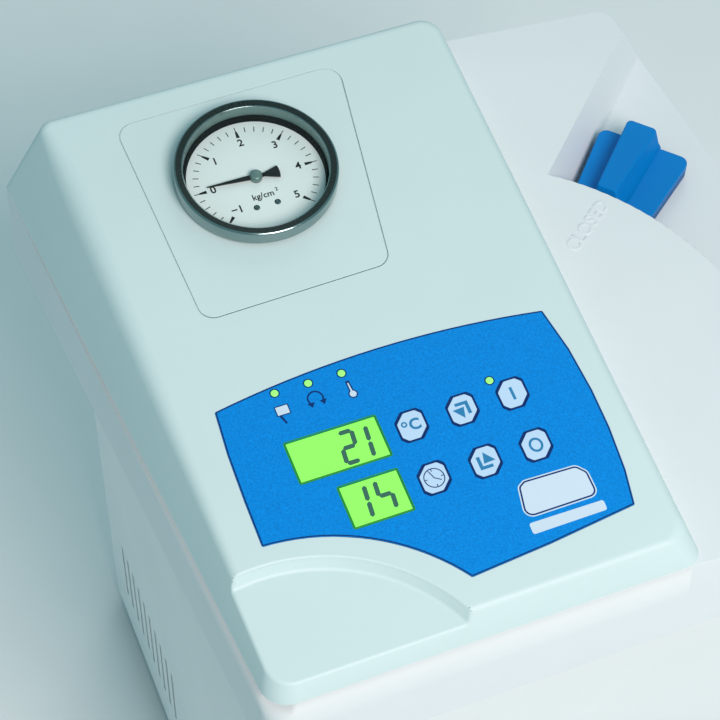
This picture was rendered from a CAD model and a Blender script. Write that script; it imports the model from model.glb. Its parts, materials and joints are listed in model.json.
import json
import math
import bpy
import bmesh
from mathutils import Matrix, Vector


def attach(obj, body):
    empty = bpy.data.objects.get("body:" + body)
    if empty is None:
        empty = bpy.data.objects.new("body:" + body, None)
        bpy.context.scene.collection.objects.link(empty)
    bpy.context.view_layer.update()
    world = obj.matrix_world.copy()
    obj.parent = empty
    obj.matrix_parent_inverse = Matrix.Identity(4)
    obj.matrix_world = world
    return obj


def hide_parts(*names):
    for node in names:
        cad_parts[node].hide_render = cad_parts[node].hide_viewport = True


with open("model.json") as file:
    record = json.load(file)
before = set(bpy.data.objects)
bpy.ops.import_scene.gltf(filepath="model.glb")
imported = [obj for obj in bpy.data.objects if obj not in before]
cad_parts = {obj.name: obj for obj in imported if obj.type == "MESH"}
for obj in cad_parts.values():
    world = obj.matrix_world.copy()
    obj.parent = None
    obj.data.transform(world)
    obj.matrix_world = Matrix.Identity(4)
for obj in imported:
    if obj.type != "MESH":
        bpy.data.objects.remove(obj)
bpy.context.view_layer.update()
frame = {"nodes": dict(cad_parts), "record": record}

# Shapes are in millimetres and are scaled to metres when an object is made.
MM = 0.001

# The console slopes about X. Its own frame has its origin at the middle of the gauge.
SLOPE = math.radians(6)
GAUGE = Vector((-74.5, 91.9, 483.53))
CONSOLE = Matrix.Translation(GAUGE) @ Matrix.Rotation(SLOPE, 4, "X")

# Height of the seam between skirt and console, the line where the deck starts to slope,
# and the thickness of the cover's wall.
SEAM_Z = 440
FOLD_X = 50
WALL = 3

# The lock ring turns about the upright line through (0, AXIS_Y), and the handle rests at this
# angle from X.
AXIS_Y = -55
HANDLE_ANGLE = math.radians(42.9)

# Curved edge of the handle recess in plan: its centre is (0, TRAY_Y).
TRAY_Y = -60
TRAY_R = 152

# The recess's slanting wall: its direction in plan, and a point on its foot.
WALL_TURN = math.radians(45.8)
WALL_FOOT = Vector((84.5, 64.6))

# In the console's frame: lamps, displays as (x, y, width, height), and the lowered corner's arc.
LAMPS = [(-35.9, -125), (-18.3, -125.2), (-0.7, -125.4), (67.3, -153.9)]
LCD_UPPER = (-41.5, -176.4, 47.6, 23.5)
LCD_LOWER = (-25.6, -207.5, 31, 23.5)
STEP_X = -75.8
STEP_Y = -306
STEP_R = 95

# Round steel parts keep crisp edges, so that their walls shade evenly.
TURNED = ("vessel_flange", "locking_ring", "lid_plate", "vessel", "basket")


# ---------------------------------------------------------------- materials

def node_material(name):
    """An empty node material with a shader, its output and object coordinates."""
    mat = bpy.data.materials.new(name)
    mat.use_nodes = True
    tree = mat.node_tree
    tree.nodes.clear()
    out = tree.nodes.new("ShaderNodeOutputMaterial")
    shader = tree.nodes.new("ShaderNodeBsdfPrincipled")
    tree.links.new(shader.outputs["BSDF"], out.inputs["Surface"])
    coord = tree.nodes.new("ShaderNodeTexCoord")
    return mat, tree, shader, coord


def noise_node(tree, coord, scale, detail=3.0, stretch=None):
    mapping = tree.nodes.new("ShaderNodeMapping")
    if stretch:
        mapping.inputs["Scale"].default_value = stretch
    tree.links.new(coord.outputs["Object"], mapping.inputs["Vector"])
    noise = tree.nodes.new("ShaderNodeTexNoise")
    noise.inputs["Scale"].default_value = scale
    noise.inputs["Detail"].default_value = detail
    tree.links.new(mapping.outputs["Vector"], noise.inputs["Vector"])
    return noise


def ramp_between(tree, factor, low, high):
    ramp = tree.nodes.new("ShaderNodeValToRGB")
    ramp.color_ramp.elements[0].color = (*low, 1)
    ramp.color_ramp.elements[1].color = (*high, 1)
    ramp.color_ramp.elements[0].position = 0.3
    ramp.color_ramp.elements[1].position = 0.7
    tree.links.new(factor, ramp.inputs["Fac"])
    return ramp


def surface(name, color, rough=0.45, metal=0.0, spread=0.04, grain=900.0, bump=0.05,
            mottle=14.0, stretch=None, emission=0.0, specular=0.5):
    """A surface whose colour, roughness and height all vary a little."""
    mat, tree, shader, coord = node_material(name)
    wide = noise_node(tree, coord, mottle, 4.0)
    low = tuple(max(0, c * (1 - spread)) for c in color)
    high = tuple(min(1, c * (1 + spread)) for c in color)
    tint = ramp_between(tree, wide.outputs["Fac"], low, high)
    tree.links.new(tint.outputs["Color"], shader.inputs["Base Color"])
    fine = noise_node(tree, coord, grain, 2.0, stretch)
    level = tree.nodes.new("ShaderNodeMapRange")
    level.inputs["To Min"].default_value = max(0.02, rough - 0.06)
    level.inputs["To Max"].default_value = min(1, rough + 0.06)
    tree.links.new(fine.outputs["Fac"], level.inputs["Value"])
    tree.links.new(level.outputs["Result"], shader.inputs["Roughness"])
    if bump:
        height = tree.nodes.new("ShaderNodeBump")
        height.inputs["Strength"].default_value = bump
        height.inputs["Distance"].default_value = 0.0004
        tree.links.new(fine.outputs["Fac"], height.inputs["Height"])
        tree.links.new(height.outputs["Normal"], shader.inputs["Normal"])
    shader.inputs["Metallic"].default_value = metal
    shader.inputs["Specular IOR Level"].default_value = specular
    if emission:
        tree.links.new(tint.outputs["Color"], shader.inputs["Emission Color"])
        shader.inputs["Emission Strength"].default_value = emission
    return mat


def clear_glass(name):
    """Thin clear window: mostly see-through, with a faint reflection and slight haze."""
    mat, tree, shader, coord = node_material(name)
    out = next(n for n in tree.nodes if n.type == "OUTPUT_MATERIAL")
    clear = tree.nodes.new("ShaderNodeBsdfTransparent")
    clear.inputs["Color"].default_value = (0.97, 0.99, 0.985, 1)
    mix = tree.nodes.new("ShaderNodeMixShader")
    haze = noise_node(tree, coord, 60.0)
    level = tree.nodes.new("ShaderNodeMapRange")
    level.inputs["To Min"].default_value = 0.012
    level.inputs["To Max"].default_value = 0.03
    tree.links.new(haze.outputs["Fac"], level.inputs["Value"])
    tree.links.new(level.outputs["Result"], mix.inputs["Fac"])
    shader.inputs["Roughness"].default_value = 0.08
    shader.inputs["Base Color"].default_value = (0.3, 0.38, 0.38, 1)
    tree.links.new(clear.outputs["BSDF"], mix.inputs[1])
    tree.links.new(shader.outputs["BSDF"], mix.inputs[2])
    tree.links.new(mix.outputs["Shader"], out.inputs["Surface"])
    return mat


MATS = {
    "cover_shell": surface("cover_shell", (0.62, 0.76, 0.77), 0.5, bump=0.10, grain=1500, spread=0.015),
    "deck_shell": surface("deck_shell", (0.725, 0.78, 0.805), 0.55, bump=0.10, grain=1500, spread=0.015),
    "housing_paint": surface("housing_paint", (0.80, 0.84, 0.85), 0.5, bump=0.12, grain=1100, spread=0.02),
    "panel_film": surface("panel_film", (0.002, 0.24, 0.72), 0.45, bump=0.08, grain=2600,
                          mottle=1000, spread=0.17, specular=0.12),
    "panel_navy": surface("panel_navy", (0.003, 0.03, 0.16), 0.4, bump=0.05, specular=0.2),
    "panel_light": surface("panel_light", (0.62, 0.75, 0.88), 0.4, bump=0.05),
    "key_cap": surface("key_cap", (0.52, 0.71, 0.92), 0.4, bump=0.06, specular=0.25),
    "key_blue": surface("key_blue", (0.03, 0.22, 0.46), 0.4, bump=0.05, specular=0.25),
    "lcd_green": surface("lcd_green", (0.26, 0.88, 0.12), 0.3, bump=0.03, emission=0.3, specular=0.2),
    "lcd_edge": surface("lcd_edge", (0.02, 0.30, 0.03), 0.35, bump=0.03),
    "lcd_digit": surface("lcd_digit", (0.05, 0.15, 0.11), 0.4, bump=0.03, specular=0.2),
    "lamp": surface("lamp", (0.28, 0.88, 0.16), 0.25, bump=0.02, emission=0.5, spread=0.1),
    "gauge_dial": surface("gauge_dial", (0.86, 0.91, 0.92), 0.5, bump=0.04, spread=0.01),
    "gauge_black": surface("gauge_black", (0.006, 0.008, 0.008), 0.45, bump=0.05, specular=0.15),
    "gauge_shade": surface("gauge_shade", (0.002, 0.004, 0.004), 0.7, bump=0.05, specular=0.03),
    "gauge_glass": clear_glass("gauge_glass"),
    "polished_steel": surface("polished_steel", (0.27, 0.35, 0.35), 0.16, metal=1.0,
                              bump=0.04, grain=500, spread=0.08),
    "bezel_dark": surface("bezel_dark", (0.012, 0.022, 0.021), 0.28, metal=0.2,
                          bump=0.04, grain=500, spread=0.1),
    "bezel_wall": surface("bezel_wall", (0.17, 0.27, 0.26), 0.4, metal=0.4, bump=0.04, grain=500, spread=0.1),
    "vessel_steel": surface("vessel_steel", (0.60, 0.62, 0.64), 0.38, metal=1.0,
                            bump=0.03, grain=700, stretch=(1, 1, 4)),
    "bracket_steel": surface("bracket_steel", (0.46, 0.48, 0.50), 0.4, metal=1.0, bump=0.10, grain=420),
    "screw_steel": surface("screw_steel", (0.12, 0.12, 0.13), 0.35, metal=1.0, bump=0.06),
    "brass": surface("brass", (0.62, 0.44, 0.16), 0.32, metal=1.0, bump=0.08, grain=500),
    "copper_pipe": surface("copper_pipe", (0.70, 0.36, 0.20), 0.35, metal=1.0,
                           bump=0.08, grain=300, spread=0.12),
    "board": surface("board", (0.02, 0.16, 0.06), 0.4, bump=0.15, grain=600, spread=0.2),
    "black_plastic": surface("black_plastic", (0.015, 0.015, 0.017), 0.45, bump=0.12),
    "green_plastic": surface("green_plastic", (0.02, 0.24, 0.09), 0.4, bump=0.08),
    "red_plastic": surface("red_plastic", (0.45, 0.02, 0.015), 0.4, bump=0.08),
    "seal_rubber": surface("seal_rubber", (0.66, 0.64, 0.56), 0.7, bump=0.15),
    "foot_rubber": surface("foot_rubber", (0.02, 0.02, 0.02), 0.8, bump=0.25),
    "insulation": surface("insulation", (0.62, 0.58, 0.42), 0.95, bump=0.8, grain=350, spread=0.15),
    "heater_sheath": surface("heater_sheath", (0.20, 0.17, 0.16), 0.45, metal=1.0, bump=0.1, spread=0.3),
    "handle_blue": surface("handle_blue", (0.001, 0.20, 0.58), 0.45,
                           bump=0.15, grain=1300, spread=0.05, specular=0.10),
}


# ---------------------------------------------------------------- outlines

def fillet(points, radii, steps=6):
    """Closed outline with each corner rounded; radii is one number or one per corner."""
    out = []
    n = len(points)
    for i in range(n):
        p = Vector(points[i])
        u = Vector(points[i - 1]) - p
        v = Vector(points[(i + 1) % n]) - p
        r = radii[i] if isinstance(radii, (list, tuple)) else radii
        if r <= 0:
            out.append((p.x, p.y))
            continue
        lu, lv = u.length, v.length
        u, v = u / lu, v / lv
        half = u.angle(v) / 2
        d = min(r / math.tan(half), 0.48 * lu, 0.48 * lv)
        r = d * math.tan(half)
        centre = p + (u + v).normalized() * (r / math.sin(half))
        a, b = p + u * d - centre, p + v * d - centre
        start = math.atan2(a.y, a.x)
        turn = (math.atan2(b.y, b.x) - start + math.pi) % (2 * math.pi) - math.pi
        for k in range(steps + 1):
            t = start + turn * k / steps
            out.append((centre.x + r * math.cos(t), centre.y + r * math.sin(t)))
    return out


def arc(cx, cy, r, a0, a1, steps):
    """Points on an arc, angles in degrees."""
    return [(cx + r * math.cos(math.radians(a0 + (a1 - a0) * k / steps)),
             cy + r * math.sin(math.radians(a0 + (a1 - a0) * k / steps))) for k in range(steps + 1)]


def circle(x, y, r, steps):
    return arc(x, y, r, 0, 360, steps)[:-1]


def box(x, y, w, h):
    return [(x, y), (x + w, y), (x + w, y + h), (x, y + h)]


def grow(outline, d):
    """Outline moved outwards by d, for outlines that run anticlockwise."""
    out = []
    n = len(outline)
    for i in range(n):
        a, p, b = Vector(outline[i - 1]), Vector(outline[i]), Vector(outline[(i + 1) % n])
        e, f = (p - a).normalized(), (b - p).normalized()
        m = Vector((e.y + f.y, -e.x - f.x))
        m.normalize()
        c = max(0.35, m.dot(Vector((e.y, -e.x))))
        out.append((p.x + m.x * d / c, p.y + m.y * d / c))
    return out


def panel_outline(g=0.0):
    """Keypad overlay: bulging top and right, arc cut out of the front left corner."""
    top = arc(21.2, -636.6, 518.9, 80.3, 99.8, 18)
    left = [(-69.2, -150), (-70, -175)]
    bite = arc(-73.2, -311, 109.7, 88.5, 34.0, 18)
    low = [(60, -246.3)]
    right = [(110.6, -222), (113.0, -198), (113.6, -176), (112.4, -150)]
    outline = fillet(top + left + bite + low + [(106.8, -241)] + right, 0.8, 2)
    return grow(outline, g) if g else outline


# ---------------------------------------------------------------- mesh building

class Build:
    """Collects faces with their materials, in millimetres, and makes one object of them."""

    def __init__(self):
        self.bm = bmesh.new()
        self.mats = []

    def slot(self, mat):
        """Number of a material on this object, added when it is new."""
        if mat not in self.mats:
            self.mats.append(mat)
        return self.mats.index(mat)

    def loft(self, rings, mat, cap_low=True, cap_high=True):
        """Joins rings of equal length; each ring is a list of 3-D points."""
        index = self.slot(mat)
        grid = [[self.bm.verts.new(p) for p in ring] for ring in rings]
        n = len(grid[0])
        for a, b in zip(grid, grid[1:]):
            for i in range(n):
                j = (i + 1) % n
                self.bm.faces.new((a[i], a[j], b[j], b[i])).material_index = index
        if cap_low:
            self.bm.faces.new(list(reversed(grid[0]))).material_index = index
        if cap_high:
            self.bm.faces.new(grid[-1]).material_index = index

    def prism(self, outline, z0, z1, mat, edge=0.0, steps=3):
        """Upright prism on an anticlockwise outline with a rounded upper edge."""
        rings = [[(x, y, z0) for x, y in outline]]
        if edge:
            for k in range(steps + 1):
                t = math.pi / 2 * k / steps
                inner = grow(outline, -edge * (1 - math.cos(t)))
                rings.append([(x, y, z1 - edge * (1 - math.sin(t))) for x, y in inner])
        else:
            rings.append([(x, y, z1) for x, y in outline])
        self.loft(rings, mat)

    def frame(self, inner, outer, z0, z1, mat):
        """Flat ring between two outlines of equal length."""
        a = [(x, y, z0) for x, y in outer]
        b = [(x, y, z1) for x, y in outer]
        c = [(x, y, z1) for x, y in inner]
        d = [(x, y, z0) for x, y in inner]
        self.loft([a, b, c, d, a], mat, False, False)

    def spin(self, profile, mat, steps=96):
        """Turned shape from (radius, height) points."""
        index = self.slot(mat)
        rings = []
        for k in range(steps):
            t = 2 * math.pi * k / steps
            rings.append([self.bm.verts.new((r * math.cos(t), r * math.sin(t), z)) for r, z in profile])
        for k in range(steps):
            a, b = rings[k], rings[(k + 1) % steps]
            for i in range(len(profile) - 1):
                self.bm.faces.new((a[i], b[i], b[i + 1], a[i + 1])).material_index = index

    def words(self, text, x, y, z, size, mat, depth=0.05, weight=0.0):
        """Generic lettering from the built-in font, as mesh."""
        curve = bpy.data.curves.new("words", "FONT")
        curve.body = text
        curve.size = size
        curve.extrude = depth
        curve.align_x = "CENTER"
        curve.align_y = "CENTER"
        curve.offset = weight
        curve.resolution_u = 4
        obj = bpy.data.objects.new("words", curve)
        bpy.context.scene.collection.objects.link(obj)
        bpy.context.view_layer.update()
        mesh = bpy.data.meshes.new_from_object(obj.evaluated_get(bpy.context.evaluated_depsgraph_get()))
        bpy.data.objects.remove(obj)
        mesh.transform(Matrix.Translation((x, y, z)))
        before = len(self.bm.faces)
        self.bm.from_mesh(mesh)
        self.bm.faces.ensure_lookup_table()
        index = self.slot(mat)
        for f in self.bm.faces[before:]:
            f.material_index = index
        bpy.data.meshes.remove(mesh)

    def make(self, name, place=None):
        """Turns the faces into an object in metres, moved by place first."""
        bmesh.ops.remove_doubles(self.bm, verts=self.bm.verts, dist=0.0005)
        bmesh.ops.recalc_face_normals(self.bm, faces=self.bm.faces)
        mesh = bpy.data.meshes.new(name)
        self.bm.to_mesh(mesh)
        self.bm.free()
        if place:
            mesh.transform(place)
        mesh.transform(Matrix.Scale(MM, 4))
        for m in self.mats:
            mesh.materials.append(MATS[m])
        obj = bpy.data.objects.new(name, mesh)
        bpy.context.scene.collection.objects.link(obj)
        return obj


def smooth(obj):
    for p in obj.data.polygons:
        p.use_smooth = True


def even_shading(obj):
    """Smooth shading whose normals follow the larger faces."""
    smooth(obj)
    n = obj.modifiers.new("shading", "WEIGHTED_NORMAL")
    n.weight = 80


def bake(obj):
    """Applies the modifiers of a piece that is still being built."""
    dg = bpy.context.evaluated_depsgraph_get()
    mesh = bpy.data.meshes.new_from_object(obj.evaluated_get(dg), depsgraph=dg)
    obj.modifiers.clear()
    obj.data = mesh


def cut(obj, tool):
    """Cuts another object out of a piece and removes that object."""
    m = obj.modifiers.new("cut", "BOOLEAN")
    m.operation = "DIFFERENCE"
    m.solver = "EXACT"
    m.object = tool
    bpy.context.view_layer.update()
    bake(obj)
    bpy.data.objects.remove(tool)


def weighted_bevel(obj, rule, width, segments=4, angle=25, clamp=True):
    """Rounds each sharp edge by its own share of width; rule(mid, along, is_concave) gives the share."""
    bm = bmesh.new()
    bm.from_mesh(obj.data)
    layer = bm.edges.layers.float.new("bevel_weight_edge")
    for e in bm.edges:
        if len(e.link_faces) != 2:
            continue
        turn = e.calc_face_angle_signed(0)
        if abs(turn) < math.radians(angle):
            continue
        mid = (e.verts[0].co + e.verts[1].co) / 2 / MM
        e[layer] = rule(mid, (e.verts[1].co - e.verts[0].co).normalized(), turn < 0)
    bm.to_mesh(obj.data)
    bm.free()
    m = obj.modifiers.new("edges", "BEVEL")
    m.width = width * MM
    m.segments = segments
    m.limit_method = "WEIGHT"
    m.use_clamp_overlap = clamp
    m.miter_outer = "MITER_ARC"
    even_shading(obj)


def place(obj, body, nodes=(), slot=None):
    """Puts a piece on its body, with the CAD nodes it replaces and its material slot."""
    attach(obj, body)
    if nodes:
        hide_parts(*nodes)
    return obj


# ---------------------------------------------------------------- lid cover

def console_z(y):
    """Height of the console's top."""
    return 456 + (y + 170) * math.tan(SLOPE)


def deck_z(x, y):
    """Height of the deck, which falls to the right and rises to the back."""
    return SEAM_Z - 0.105 * (x - 58) + 0.048 * (y + 178)


def tray_ring(z, t=0.0):
    """Plan of the handle recess at height z, grown by t; its slanting wall leans in towards the floor."""
    shift = (z - 446) * 0.4 + t * 1.08
    r = TRAY_R - t
    ahead = Vector((math.cos(WALL_TURN), math.sin(WALL_TURN)))
    aside = Vector((-ahead.y, ahead.x))
    reach = aside.dot(WALL_FOOT - Vector((0, TRAY_Y)))
    start = math.degrees(WALL_TURN) + math.degrees(math.asin((reach + shift) / r))
    front = math.degrees(math.asin((-7 - t) / r))
    far = WALL_FOOT + ahead * 230 + aside * shift
    edge = arc(0, TRAY_Y, r, start, front, 24)
    return [(x, y, z) for x, y in reversed(edge + [(240, -70 - t), (far.x, far.y)])]


def tray_tool(t=0.0):
    """What is cut out of the deck for the handle recess, grown by t."""
    b = Build()
    b.loft([tray_ring(420 - t, t), tray_ring(500, t)], "deck_shell")
    return b.make("tool")


def skirt_outline(corners, t, back_left):
    """Rounded outline from back left, front left, front right, right bend and back right.

    Points are added where it crosses the deck's fold line.
    """
    corners = [(x - math.copysign(t, x), y - math.copysign(t, y)) for x, y in corners[:3]] + \
        [(corners[3][0] - t, corners[3][1])] + [(corners[4][0] - t, corners[4][1] - t)]
    outline = fillet(corners, [back_left - t * 0.8, 14 - t, 14 - t, 0, 10 - t], 8)
    out = []
    for i, p in enumerate(outline):
        q = outline[(i + 1) % len(outline)]
        out.append(p)
        if (p[0] - FOLD_X) * (q[0] - FOLD_X) < 0:
            s = (FOLD_X - p[0]) / (q[0] - p[0])
            out.append((FOLD_X, p[1] + s * (q[1] - p[1])))
    return out


def skirt_block(t=0.0):
    """Skirt and deck as a closed block, shrunk by t for the inside; the right side leans out."""
    low = skirt_outline([(-194, 171), (-169.3, -187), (192, -187), (191.2, 50), (184.2, 171)], t, 5)
    mid = skirt_outline([(-193, 171.3), (-168.3, -183.2), (191, -183.2), (189.9, 50), (182.8, 171.3)], t, 5)
    high = skirt_outline([(-192.3, 171.5), (-167.5, -180.5), (187, -180.5), (176, 50), (170.2, 171.5)],
                         t, 5)

    def roof(x, y):
        if x >= FOLD_X - 0.01:
            return deck_z(x, y) - t
        if y > 100:
            return SEAM_Z - t + max(0, (x + 100) / 150) * (deck_z(FOLD_X, y) - SEAM_Z)
        return SEAM_Z - t

    b = Build()
    index = b.slot("deck_shell")
    rings = [[b.bm.verts.new((x, y, 390 if t == 0 else 385)) for x, y in low],
             [b.bm.verts.new((x, y, 419 - t * 0.5)) for x, y in mid],
             [b.bm.verts.new((x, y, roof(x, y))) for x, y in high]]
    n = len(high)
    for bottom, top in zip(rings, rings[1:]):
        for i in range(n):
            j = (i + 1) % n
            b.bm.faces.new((bottom[i], bottom[j], top[j], top[i]))
    top = rings[-1]
    b.bm.faces.new(list(reversed(rings[0])))
    b.bm.faces.new([v for v in top if v.co.x >= FOLD_X - 0.01])
    front, back = (i for i, v in enumerate(top) if abs(v.co.x - FOLD_X) < 0.01)
    b.bm.faces.new(top[back:] + top[:front + 1])
    for f in b.bm.faces:
        f.material_index = index
    return b.make("block")


def simple_block(outline, z0, z1):
    """Upright cutting block in the part's frame."""
    b = Build()
    b.prism(outline, z0, z1, "deck_shell")
    return b.make("tool")


def cover_deck():
    """Skirt and deck of the lid cover, with the handle recess and the slot for the handle's arm."""
    obj = skirt_block()
    inner = skirt_block(WALL)
    cut(inner, tray_tool(WALL))
    cut(obj, inner)
    cut(obj, tray_tool())
    slot_plan = arc(0, TRAY_Y, 154, -4.0, 51.6, 24) + arc(0, TRAY_Y, 140, 50.6, -4.0, 24)
    cut(obj, simple_block(slot_plan, 421, 433.5))
    obj.name = "cover_deck"

    def rule(mid, along, concave):
        """Share of the full rounding: rim, recess floor and slot crisp, outer edges soft."""
        radius = math.hypot(mid.x, mid.y - TRAY_Y)
        in_tray = 60 < mid.x < 169 and -72 < mid.y < 151 and radius > 148
        at_rim = mid.z < 392
        at_tray_floor = mid.z < 422
        at_slot = mid.z < 434.5
        on_right_side = mid.x > 170 and abs(mid.y) < 170 and abs(along.z) < 0.5
        under_console = mid.x < FOLD_X and mid.y < 165
        if at_rim:
            return 0.1
        if on_right_side and at_tray_floor:
            return 0.9 if mid.z < 419.5 else 0.0
        if in_tray and at_tray_floor:
            return 0.5 if concave else 0.12
        if in_tray and at_slot:
            return 0.12
        if under_console:
            return 0.0
        if mid.z < 432 and mid.x < 150:
            return 0.3
        if in_tray:
            return 0.35
        return 0.9

    weighted_bevel(obj, rule, 5.0, 4, 14)
    return place(obj, "lid", ["top_cover"], "cover_shell")


def console_outline(corners, radii):
    """Console outline with extra points along the left side, after the back left corner."""
    outline = fillet(corners, radii, 10)
    a, b = Vector(outline[10]), Vector(outline[11])
    extra = [tuple(a.lerp(b, f)) for f in (0.02, 0.05, 0.09, 0.14, 0.2, 0.3, 0.5, 0.7, 0.85)]
    return outline[:11] + extra + outline[11:]


def top_edge_radius(i):
    """Rounding of the console's upper edge: soft at the back of the left side, crisp in front."""
    left = [6.0, 7.5, 8.8, 9.5, 9.5, 9.0, 7.2, 5.2, 3.8]
    if i <= 10:
        return 4.6
    if i <= 19:
        return left[i - 11]
    if i <= 31:
        return 2.8
    if i <= 41:
        return 2.8 + 2.5 * (i - 31) / 10
    return 5.3


def console_block(t=0.0):
    """Console as a closed block with a rounded upper edge; shrunk by t and plain for the inside."""
    foot = console_outline([(-192.0 + t, 171 - t), (-167.2 + t, -180.1 + t), (59 - t, -180.1 + t),
                            (76.5 - t, 170.6 - t)], [5, 14, 8, 8])
    seam = console_outline([(-192.25 + t, 171.45 - t), (-167.45 + t, -180.45 + t), (56.7 - t, -180.45 + t),
                            (74.2 - t, 171 - t)], [5, 14, 9, 9])
    high = console_outline([(-170 + t, 162.3 - t), (-161.5 + t, -172 + t), (51 - t, -172 + t),
                            (54.2 - t, 162.3 - t)], [6, 13, 13, 11])
    rings = [[(x, y, 434 if t == 0 else 430) for x, y in foot], [(x, y, SEAM_Z - t) for x, y in seam]]
    if t:
        rings.append([(x, y, console_z(y) - t) for x, y in high])
    else:
        edge = [Vector((x, y, console_z(y))) for x, y in high]
        wall = [Vector((x, y, SEAM_Z)) for x, y in seam]
        inner = [grow(high, -top_edge_radius(i))[i] for i in range(len(high))]
        for k in range(7):
            u = k / 6
            ring = []
            for i, e in enumerate(edge):
                a = e + (wall[i] - e).normalized() * top_edge_radius(i)
                x, y = inner[i]
                c = Vector((x, y, console_z(y)))
                ring.append(tuple((1 - u) ** 2 * a + 2 * u * (1 - u) * e + u * u * c))
            rings.append(ring)
    b = Build()
    b.loft(rings, "cover_shell")
    return b.make("block")


def in_console(outline, z0, z1):
    """Upright cutting block in the console's frame."""
    b = Build()
    b.prism(outline, z0, z1, "cover_shell")
    return b.make("tool", CONSOLE)


GAUGE_INSERT = fillet([(-59.4, 53.8), (-54.6, -73.9), (46.4, -72.3), (66.7, 55.2)], [9, 8, 8, 9.5], 8)


def cover_console():
    """Sloping console of the lid cover, with its lowered corner and seats for gauge and keypad."""
    obj = console_block()
    inner = console_block(WALL)
    cut(inner, in_console(circle(STEP_X, STEP_Y, STEP_R + WALL, 96), -9, 60))
    cut(obj, inner)
    step = Build()
    step.loft([[(x, y, z) for x, y in circle(STEP_X, STEP_Y, STEP_R * s, 96)]
               for s, z in ((0.965, -6.0), (1.0, -1.0), (1.02, 8))], "cover_shell")
    cut(obj, step.make("tool", CONSOLE))
    cut(obj, in_console(grow(GAUGE_INSERT, 0.6), -1.1, 20))
    cut(obj, in_console(panel_outline(0.15), -0.5, 20))
    cut(obj, in_console(circle(0, 0, 42, 64), -12, 20))
    obj.name = "cover_console"
    to_console = CONSOLE.inverted()

    def rule(mid, along, concave):
        """Share of the full rounding: seats all but sharp, the lowered corner's step soft."""
        p = to_console @ mid
        from_step = math.hypot(p.x - STEP_X, p.y - STEP_Y)
        at_insert = abs(p.x) < 70 and -82 < p.y < 60
        at_keypad = -73 < p.x < 116 and -251 < p.y < -115 and from_step > 106
        at_surface = -0.9 < p.z < 0.2
        if mid.z < SEAM_Z + 1:
            return 0.0
        if at_insert or at_keypad:
            return 0.03 if at_surface else 0.0
        if from_step < STEP_R + 4 and p.z > -9:
            return 0.24
        return 0.0

    weighted_bevel(obj, rule, 5.5, 4, 25, False)
    return place(obj, "lid", slot="cover_shell")


def gauge_insert():
    """Flat insert around the gauge, set flush into the console."""
    b = Build()
    b.prism(GAUGE_INSERT, -1.0, 0.0, "cover_shell", edge=0.25, steps=2)
    obj = b.make("gauge_insert", CONSOLE)
    cut(obj, in_console(circle(0, 0, 40.4, 96), -12, 20))
    even_shading(obj)
    return place(obj, "lid", ["gauge_plate"], "cover_shell")


def raised_word():
    """Generic word moulded on the deck beside the handle."""
    normal = Vector((0.105, -0.048, 1)).normalized()
    turn = math.radians(38)
    along = Vector((math.cos(turn), math.sin(turn), 0))
    along = (along - normal * along.dot(normal)).normalized()
    up = normal.cross(along)
    at = Vector((90.3, 26.7, 0))
    at.z = deck_z(at.x, at.y)
    place_at = Matrix.Translation(at) @ Matrix((along, up, normal)).transposed().to_4x4()
    b = Build()
    b.words("CLOSED", 0, 0, 0.1, 10.9, "deck_shell", depth=0.28, weight=0.16)
    obj = b.make("raised_word", place_at)
    smooth(obj)
    m = obj.modifiers.new("edges", "BEVEL")
    m.width = 0.12 * MM
    m.segments = 2
    m.angle_limit = math.radians(50)
    return place(obj, "lid", slot="cover_shell")


# ---------------------------------------------------------------- keypad

def key_outline(g=0.0):
    w, h = 7.5 + g, 8.3 + g
    return fillet([(-w, -h + 2.6), (-w + 2.6, -h), (w - 5, -h), (w, -h + 5), (w, h - 2.6), (w - 2.6, h),
                   (-w + 5, h), (-w, h - 5)], 1.5, 3)


def key_centre(c, r):
    return 21.25 + 27 * c - 0.6 * r, -164.5 - 30.5 * r


def segments(b, lit, x, y, w, h, mat, z):
    """One seven-segment digit that leans a little; lit names its lit segments."""
    lean = 0.09
    t = 1.2
    gap = 0.15
    ends = {"a": ((x, y + h), (x + w, y + h)), "g": ((x, y + h / 2), (x + w, y + h / 2)),
            "d": ((x, y), (x + w, y)), "f": ((x, y + h / 2), (x, y + h)),
            "b": ((x + w, y + h / 2), (x + w, y + h)), "e": ((x, y), (x, y + h / 2)),
            "c": ((x + w, y), (x + w, y + h / 2))}
    for s in lit:
        p, q = (Vector(v) for v in ends[s])
        d = (q - p).normalized()
        n = Vector((-d.y, d.x)) * t
        p, q = p + d * gap, q - d * gap
        e = d * t * 0.8
        bar = [p, p + e - n, q - e - n, q, q - e + n, p + e + n]
        bar = [(v.x + lean * (v.y - y), v.y) for v in bar]
        b.prism(fillet(bar, 0.2, 2), z, z + 0.04, mat)


def display(name, node, x, y, w, h, digits):
    """Lit display; digits lists the lit segments, offset, width and height of each digit."""
    b = Build()
    rim = fillet(box(x, y, w, h), 0.9, 3)
    b.prism(grow(rim, -0.1), -12, 0.14, "lcd_edge", edge=0.1, steps=2)
    b.prism(grow(rim, -0.75), 0.1, 0.2, "lcd_green", edge=0.04, steps=2)
    for lit, dx, dy, dw, dh in digits:
        segments(b, lit, x + dx, y + dy, dw, dh, "lcd_digit", 0.2)
    return place(b.make(name, CONSOLE), "lid", [node], "lcd")


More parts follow.
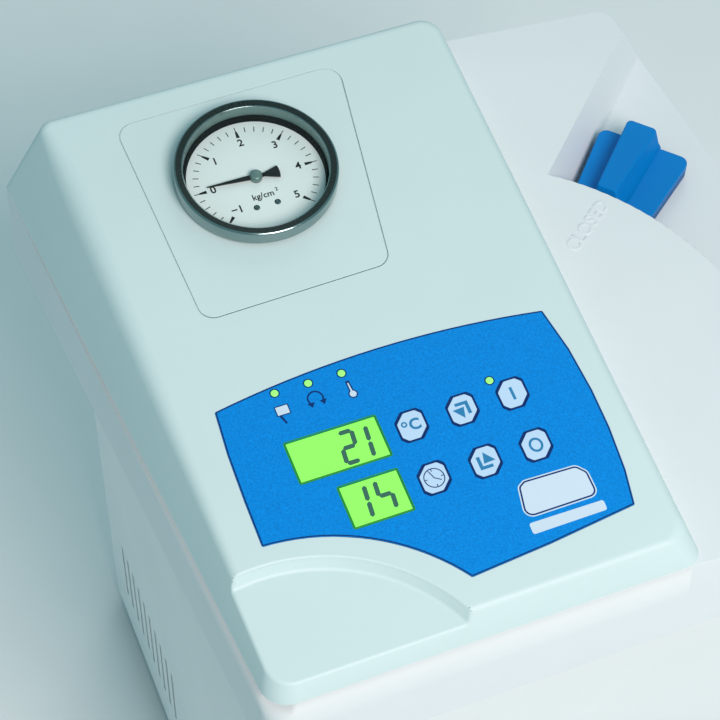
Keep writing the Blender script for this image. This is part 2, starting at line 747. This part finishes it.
def lamps(name, node, which):
    """Domed lamps with dark rims; which numbers the lamps in LAMPS."""
    b = Build()
    lamp_r = 1.95
    rim_r = 2.55
    for i in which:
        x, y = LAMPS[i]
        rings = []
        for k in range(6):
            t = math.pi / 2 * k / 5
            rings.append([(px, py, 0.3 + 0.5 * math.sin(t)) for px, py in
                          circle(x, y, 0.15 + 1.8 * math.cos(t), 32)])
        rings.insert(0, [(px, py, -12) for px, py in circle(x, y, lamp_r, 32)])
        b.loft(rings, "lamp")
        b.frame(circle(x, y, lamp_r, 32), circle(x, y, rim_r, 32), 0.1, 0.4, "panel_navy")
    obj = b.make(name, CONSOLE)
    smooth(obj)
    return place(obj, "lid", [node], "lamp")


def keypad_film():
    """Printed film with openings for the keys, lamps and displays."""
    b = Build()
    b.prism(panel_outline(), -0.45, 0.3, "panel_film", edge=0.15, steps=2)
    obj = b.make("keypad_film", CONSOLE)
    tools = [key_outline_at(c, r, 0.2) for c in range(3) for r in range(2)]
    tools += [circle(x, y, 2.3, 32) for x, y in LAMPS]
    tools += [box(*LCD_UPPER), box(*LCD_LOWER)]
    cutter = Build()
    for t in tools:
        cutter.prism(t, -5, 5, "panel_film")
    cut(obj, cutter.make("tool", CONSOLE))
    even_shading(obj)
    return place(obj, "lid", ["membrane_overlay"], "panel_film")


def key_outline_at(c, r, g=0.0):
    x, y = key_centre(c, r)
    return [(x + px, y + py) for px, py in key_outline(g)]


def tap_symbol(b, z):
    """Box with a slanting drain line."""
    flag = box(-38.6, -137.6, 6.2, 4.7)
    b.prism(grow(flag, 0.55), z, z + 0.03, "panel_navy")
    b.prism(flag, z, z + 0.06, "panel_light")
    b.prism([(-38.2, -137.8), (-36.4, -143.0), (-35.4, -142.7), (-36.9, -137.8)], z, z + 0.05, "panel_navy")


def circulation_symbol(b, z):
    """Open ring with two arrow heads."""
    ring = arc(-17.9, -134.4, 4.3, -30, 212, 26) + arc(-17.9, -134.4, 3.45, 212, -30, 26)
    b.prism(ring, z, z + 0.05, "panel_navy")
    for x in (-20.9, -14.6):
        b.prism([(x + 1.9, -136.2), (x - 1.9, -136.2), (x, -139.0)], z, z + 0.05, "panel_navy")


def thermometer_symbol(b, z):
    """Round bulb with a tapering tube."""
    b.prism(circle(0.6, -138.2, 2.4, 24), z, z + 0.04, "panel_navy")
    b.prism(circle(0.6, -138.2, 1.75, 24), z, z + 0.06, "panel_light")
    b.prism([(-0.7, -137.6), (1.7, -137.6), (1.2, -130.4), (-0.8, -130.4)], z, z + 0.05, "panel_navy")
    b.prism([(0.0, -137.4), (1.0, -137.4), (0.5, -131.6), (-0.1, -131.6)], z, z + 0.07, "panel_light")


def blank_plate_and_strip(b, z):
    """Plain plate and strip, with nothing printed on them."""
    plate = fillet([(54.3, -229.8), (92.0, -229.8), (92.0, -217.0), (88.0, -212.4), (61.0, -211.6),
                    (57.6, -213.6)], [4.0, 3.6, 3.4, 3.4, 2.6, 2.6], 6)
    b.prism(grow(plate, 0.9), z, z + 0.03, "panel_light")
    b.prism(grow(plate, 0.25), z, z + 0.05, "panel_navy")
    b.prism(grow(plate, -0.6), z, z + 0.07, "panel_light")
    strip = fillet([(54.0, -239.3), (93.2, -239.1), (93.4, -233.6), (54.2, -233.2)], 1.2, 4)
    b.prism(strip, z, z + 0.06, "panel_light")


def film_prints():
    """What is printed on the film: its border, key and display rims, symbols, plate and strip."""
    b = Build()
    z = 0.3
    b.frame(panel_outline(-0.85), panel_outline(-0.17), z, z + 0.03, "panel_navy")
    for c in range(3):
        for r in range(2):
            b.frame(key_outline_at(c, r, 0.1), key_outline_at(c, r, 0.45), z, z + 0.05, "panel_navy")
    for x, y, w, h in (LCD_UPPER, LCD_LOWER):
        rim = fillet(box(x, y, w, h), 0.9, 3)
        b.frame(grow(rim, 0.02), grow(rim, 0.55), z, z + 0.04, "lcd_edge")
    tap_symbol(b, z)
    circulation_symbol(b, z)
    thermometer_symbol(b, z)
    blank_plate_and_strip(b, z)
    return place(b.make("film_prints", CONSOLE), "lid", slot="panel_film")


def corner_symbol(b, x, y, z, s):
    """Corner and triangle that point up and right; s = -1 turns it round."""
    def turn(points):
        return [(x + s * px, y + s * py) for px, py in points]
    b.prism(turn([(-2.9, 2.3), (2.1, 2.3), (2.1, -3.3), (3.9, -3.3), (3.9, 4.0), (-2.9, 4.0)]), z, z + 0.05,
            "key_blue")
    b.prism(turn([(-5.0, 0.7), (-0.4, -5.0), (1.1, 1.1)]), z, z + 0.05, "key_blue")


def up_symbol(b, x, y, z):
    corner_symbol(b, x, y, z, 1)


def down_symbol(b, x, y, z):
    corner_symbol(b, x, y, z, -1)


def degree_symbol(b, x, y, z):
    b.words("C", x + 1.7, y, z, 8.4, "key_blue", weight=0.26)
    b.frame(circle(x - 3.5, y + 1.5, 0.8, 24), circle(x - 3.5, y + 1.5, 1.6, 24), z, z + 0.05, "key_blue")


def on_symbol(b, x, y, z):
    b.prism(box(x - 0.75, y - 3.6, 1.5, 7.2), z, z + 0.05, "key_blue")


def off_symbol(b, x, y, z):
    inner, outer = ([(x + w * math.cos(t * math.pi / 16), y + h * math.sin(t * math.pi / 16))
                     for t in range(32)] for w, h in ((2.35, 2.75), (3.6, 4.0)))
    b.frame(inner, outer, z, z + 0.05, "key_blue")


def clock_symbol(b, x, y, z):
    """Round face with four ticks and two hands."""
    def bar(half, y0, y1, degrees):
        turn = Matrix.Rotation(math.radians(degrees), 2)
        points = [turn @ Vector(p) for p in ((-half, y0), (half, y0), (half, y1), (-half, y1))]
        b.prism([(x + p.x, y + p.y) for p in points], z, z + 0.05, "panel_navy")
    b.frame(circle(x, y, 4.85, 40), circle(x, y, 5.35, 40), z, z + 0.05, "panel_navy")
    for degrees in (0, 90, 180, 270):
        bar(0.22, 3.6, 4.9, degrees)
    for length, degrees in ((4.7, 21), (3.8, -123)):
        bar(0.24, -0.2, length, degrees)


# Name, column and row of each key, and what is printed on it.
KEYS = (("temperature", 0, 0, degree_symbol), ("up", 1, 0, up_symbol), ("start", 2, 0, on_symbol),
        ("time", 0, 1, clock_symbol), ("down", 1, 1, down_symbol), ("stop", 2, 1, off_symbol))


def key(name, column, row, symbol):
    """One key cap with its printed symbol and the plunger behind it."""
    b = Build()
    x, y = key_centre(column, row)
    z = 0.42
    b.prism(key_outline_at(column, row), -2, 0.37, "panel_navy", edge=0.06, steps=2)
    b.prism(key_outline_at(column, row, -0.7), 0.3, z, "key_cap", edge=0.04, steps=2)
    b.prism(circle(x, y, 2.5, 24), -13.2, -1.5, "key_cap")
    symbol(b, x, y, z)
    obj = b.make("cap_" + name, CONSOLE)
    return place(obj, "key_" + name + "_cap", ["key_" + name], "key_cap")


# ---------------------------------------------------------------- gauge

def round_profile(points, radii, steps=4):
    """Open profile with rounded inner corners."""
    out = [points[0]]
    for i in range(1, len(points) - 1):
        p, u, v = Vector(points[i]), Vector(points[i - 1]), Vector(points[i + 1])
        r = radii[i - 1]
        if r <= 0:
            out.append(tuple(p))
            continue
        a, b = (u - p).normalized(), (v - p).normalized()
        for k in range(steps + 1):
            t = k / steps
            q = (1 - t) ** 2 * (p + a * r) + 2 * t * (1 - t) * p + t * t * (p + b * r)
            out.append((q.x, q.y))
    out.append(points[-1])
    return out


def gauge_bezel():
    """Bezel with a dark front, its lighter inner wall and the shaded step above the dial."""
    b = Build()
    b.spin(round_profile([(40.3, 0.2), (40.3, 2.2), (43.0, 2.2), (43.0, 10.0), (41.9, 10.4)],
                         [0.3, 0.5, 0.9]), "polished_steel", 128)
    b.spin([(41.95, 10.38), (38.7, 10.2)], "bezel_dark", 128)
    b.spin(round_profile([(38.75, 10.2), (38.1, 10.1), (38.1, 9.3)], [0.4]), "polished_steel", 128)
    b.spin([(38.1, 9.35), (38.1, 2.8)], "bezel_wall", 128)
    b.spin(round_profile([(38.15, 2.8), (36.8, 2.4), (36.4, -0.95)], [0.4]), "gauge_shade", 128)
    obj = b.make("bezel_ring", CONSOLE)
    smooth(obj)
    return place(obj, "lid", ["gauge_bezel"], "polished_steel")


def gauge_cup():
    b = Build()
    b.spin(round_profile([(0.5, -30), (12, -30), (12, -26), (40, -26), (40, 3.8), (38.7, 3.8), (38.7, -3)],
                         [1, 0.5, 3, 0.4, 0.3]), "vessel_steel", 96)
    obj = b.make("gauge_cup", CONSOLE)
    smooth(obj)
    return place(obj, "lid", ["gauge_case"], "vessel_steel")


def gauge_window():
    b = Build()
    b.spin(round_profile([(0.02, 6.2), (37.5, 6.2), (37.8, 6.0), (37.8, 4.4), (37.5, 4.2), (0.02, 4.2)],
                         [0.1, 0.1, 0.1, 0.1]), "gauge_glass", 96)
    obj = b.make("gauge_window", CONSOLE)
    smooth(obj)
    return place(obj, "lid", ["gauge_glass"], "gauge_glass")


def polar(r, a):
    """Point at radius r and angle a in radians."""
    return Vector((r * math.cos(a), r * math.sin(a)))


def mark(b, a, r0, r1, w0, w1, z, mat="gauge_black"):
    """Radial mark at angle a, width w0 at r0 and w1 at r1."""
    n = Vector((-math.sin(a), math.cos(a)))
    p, q = polar(r0, a), polar(r1, a)
    pts = [p - n * w0 / 2, q - n * w1 / 2, q + n * w1 / 2, p + n * w0 / 2]
    b.prism([tuple(v) for v in pts], z, z + 0.05, mat)


def gauge_dial():
    """Dial with thirty divisions, seven numbers, the unit and two screws."""
    b = Build()
    z = -1.0
    b.spin(round_profile([(3.2, -2.0), (38, -2.0), (38, z), (3.2, z)], [0.2, 0.2]), "gauge_dial", 96)
    for i in range(31):
        a = math.radians(225 - 9 * i)
        if i % 5:
            mark(b, a, 29.9, 33.0, 0.48, 0.48, z)
        else:
            mark(b, a, 30.2, 34.0, 0.5, 0.42, z)
            mark(b, a, 27.2, 31.2, 1.9, 1.0, z)
    for i in range(7):
        a = math.radians(225 - 45 * i)
        p = polar(23.6 if i else 22.4, a)
        b.words(str(i - 1).replace("-", "−"), p.x, p.y, z + 0.02, 6.2, "gauge_black", weight=0.12)
    b.words("kg/cm", -0.2, -11.6, z + 0.02, 5.0, "gauge_black", weight=0.08)
    b.words("2", 7.7, -10.0, z + 0.02, 3.1, "gauge_black", weight=0.05)
    # two slotted screws that hold the dial
    for x in (-5.9, 5.6):
        y = -17.7
        b.prism(circle(x, y, 1.7, 28), z, z + 0.03, "gauge_black")
        b.prism(circle(x + 0.2, y - 0.25, 1.3, 24), z, z + 0.25, "polished_steel", edge=0.15, steps=2)
        slot = [(x - 1.0, y - 0.65), (x - 0.75, y - 0.95), (x + 1.35, y + 0.2), (x + 1.1, y + 0.5)]
        b.prism(slot, z + 0.2, z + 0.3, "gauge_black")
    obj = b.make("dial_face", CONSOLE)
    return place(obj, "lid", ["gauge_dial"], "gauge_dial")


def pointer():
    """Pointer with a fan-shaped tail, hub and spindle; it rests a little past zero."""
    b = Build()
    fan = arc(0, 0, 12.9, -17, 17, 10)
    b.prism([(4.0, -0.9)] + fan + [(4.0, 0.9)], 0.3, 0.9, "gauge_black", edge=0.15, steps=2)
    b.prism(fillet([(-26.5, -0.26), (0.0, -1.6), (5, -1.1), (5, 1.1), (0.0, 1.6), (-26.5, 0.26)], 0.2, 2),
            0.3, 0.9, "gauge_black", edge=0.15, steps=2)
    b.spin(round_profile([(3.4, -0.4), (3.4, 1.9), (2.7, 2.7), (0.02, 2.9)], [0.4, 1.0]), "bezel_wall", 40)
    b.spin([(1.5, -12), (1.5, -0.2)], "polished_steel", 24)
    obj = b.make("pointer_hand", CONSOLE @ Matrix.Rotation(math.radians(-3.5), 4, "Z"))
    even_shading(obj)
    return place(obj, "pointer", ["gauge_pointer"], "gauge_black")


# ---------------------------------------------------------------- handle

def handle():
    """Blue grip: a tall rib that widens to its tip, with a wing on each side."""
    b = Build()
    wing_z = 431.6
    foot_z = 432.7
    top_z = 442.2
    edge = 0.9
    corners = [1.5, 2.6, 2.6, 1.5]
    base = fillet([(152.5, -12.2), (206.4, -13.7), (207.0, 9.7), (152.5, 7.2)], corners, 5)
    foot = fillet([(152.8, -9.0), (207.4, -12.0), (207.4, 9.6), (152.8, 7.0)], corners, 5)
    top = fillet([(154.6, -5.0), (207.2, -9.3), (207.2, 8.2), (154.6, 5.9)], corners, 5)
    inner = grow(top, -edge)
    rings = [[(x, y, 423) for x, y in base], [(x, y, wing_z - 0.3) for x, y in base],
             [(x, y, foot_z) for x, y in foot]]
    for k in range(5):
        u = k / 4
        ring = []
        for f, e, c in zip(foot, top, inner):
            e = Vector((*e, top_z))
            a = e + (Vector((*f, foot_z)) - e).normalized() * edge
            ring.append(tuple((1 - u) ** 2 * a + 2 * u * (1 - u) * e + u * u * Vector((*c, top_z))))
        rings.append(ring)
    b.loft(rings, "handle_blue")
    wings = fillet([(141, -25.3), (204, -31.6), (204, 22.1), (141, 17.1), (141, 6.5), (153.5, 6.5),
                    (153.5, -8), (141, -8)], [1, 5, 5, 1, 0.5, 0.5, 0.5, 0.5], 6)
    b.prism(wings, 421.8, wing_z, "handle_blue", edge=edge, steps=4)
    turn = Matrix.Translation((0, AXIS_Y, 0)) @ Matrix.Rotation(HANDLE_ANGLE, 4, "Z")
    obj = b.make("lock_handle", turn)
    even_shading(obj)
    return place(obj, "lock", ["handle_grip"], "handle_blue")


# ---------------------------------------------------------------- CAD nodes

def dress_cad_nodes():
    """Edges, shading and a material for every CAD node that stays visible."""
    slots = {s["node"]: s["material_slot"] for s in frame["record"]["subparts"]}
    soft = {"lower_housing": 1.2, "lid_frame": 0.6, "hinge_brackets": 0.6, "locking_ring": 0.8,
            "drain_lever": 1.2, "power_inlet": 0.6, "switch_frame": 0.6, "mains_rocker": 0.8,
            "feet": 0.8, "safety_ring": 0.8, "drain_valve": 0.5}
    for name, obj in frame["nodes"].items():
        if obj.hide_render:
            continue
        obj.data.materials.clear()
        obj.data.materials.append(MATS[slots[name]])
        smooth(obj)
        weld = obj.modifiers.new("weld", "WELD")
        weld.merge_threshold = 0.00001
        if name in TURNED:
            split = obj.modifiers.new("edges", "EDGE_SPLIT")
            split.split_angle = math.radians(30)
            continue
        m = obj.modifiers.new("edges", "BEVEL")
        m.width = soft.get(name, 0.3) * MM
        m.segments = 2
        m.limit_method = "ANGLE"
        m.angle_limit = math.radians(40)
        m.use_clamp_overlap = True
        n = obj.modifiers.new("shading", "WEIGHTED_NORMAL")
        n.mode = "FACE_AREA_WITH_ANGLE"


# ---------------------------------------------------------------- build

cover_deck()
cover_console()
gauge_insert()
raised_word()
keypad_film()
film_prints()
display("display_upper", "lcd_upper", *LCD_UPPER,
        [("abged", 25.3, 2.8, 6.9, 16.8), ("bc", 32.4, 2.2, 6.9, 17.4)])
display("display_lower", "lcd_lower", *LCD_LOWER,
        [("bc", 4.0, 2.9, 6.8, 17.4), ("fgc", 16.6, 3.7, 6.7, 17.0)])
lamps("status_lamps", "status_leds", (0, 1, 2))
lamps("power_lamp", "power_led", (3,))
for key_name, column, row, symbol in KEYS:
    key(key_name, column, row, symbol)
gauge_bezel()
gauge_cup()
gauge_window()
gauge_dial()
pointer()
handle()
dress_cad_nodes()


# ---------------------------------------------------------------- stage

def floor():
    """Plain pale ground."""
    mesh = bpy.data.meshes.new("floor")
    bm = bmesh.new()
    bmesh.ops.create_grid(bm, x_segments=8, y_segments=8, size=6)
    bm.to_mesh(mesh)
    bm.free()
    mesh.materials.append(surface("floor_paint", (0.92, 0.93, 0.94), 0.7, bump=0.02, grain=80, spread=0.01))
    obj = bpy.data.objects.new("floor", mesh)
    bpy.context.scene.collection.objects.link(obj)


def light(name, at, size, power, color):
    """Round soft light aimed at the lid cover."""
    data = bpy.data.lights.new(name, "AREA")
    data.shape = "DISK"
    data.size = size
    data.energy = power
    data.color = color
    obj = bpy.data.objects.new(name, data)
    obj.location = at
    aim = Vector((0, 0, 0.4)) - Vector(at)
    obj.rotation_euler = aim.to_track_quat("-Z", "Y").to_euler()
    bpy.context.scene.collection.objects.link(obj)


def studio():
    """Even ambient light, a warm key light from the front and a weak one from behind."""
    world = bpy.data.worlds.new("studio")
    world.use_nodes = True
    back = world.node_tree.nodes["Background"]
    back.inputs["Color"].default_value = (0.50, 0.90, 0.97, 1)
    back.inputs["Strength"].default_value = 0.42
    bpy.context.scene.world = world
    light("key", (0.14, -1.35, 1.9), 1.0, 34.5, (1.0, 0.86, 0.82))
    light("side", (0.9, 1.5, 1.8), 1.2, 5, (1.0, 0.90, 0.87))


def camera():
    """View from the front left and above, turned about the viewing axis."""
    data = bpy.data.cameras.new("camera")
    data.sensor_width = 36
    data.lens = 112.1
    data.clip_start = 0.05
    obj = bpy.data.objects.new("camera", data)
    bpy.context.scene.collection.objects.link(obj)
    at = Vector((-0.3202, -0.6326, 1.3743))
    look = Vector((0.2298, 0.5409, -0.8091)).normalized()
    up = Vector((0.2879, 0.7563, 0.5874))
    right = look.cross(up).normalized()
    up = right.cross(look)
    obj.matrix_world = Matrix.Translation(at) @ Matrix((right, up, -look)).transposed().to_4x4()
    bpy.context.scene.camera = obj


floor()
studio()
camera()
bpy.context.scene.view_settings.view_transform = "Standard"
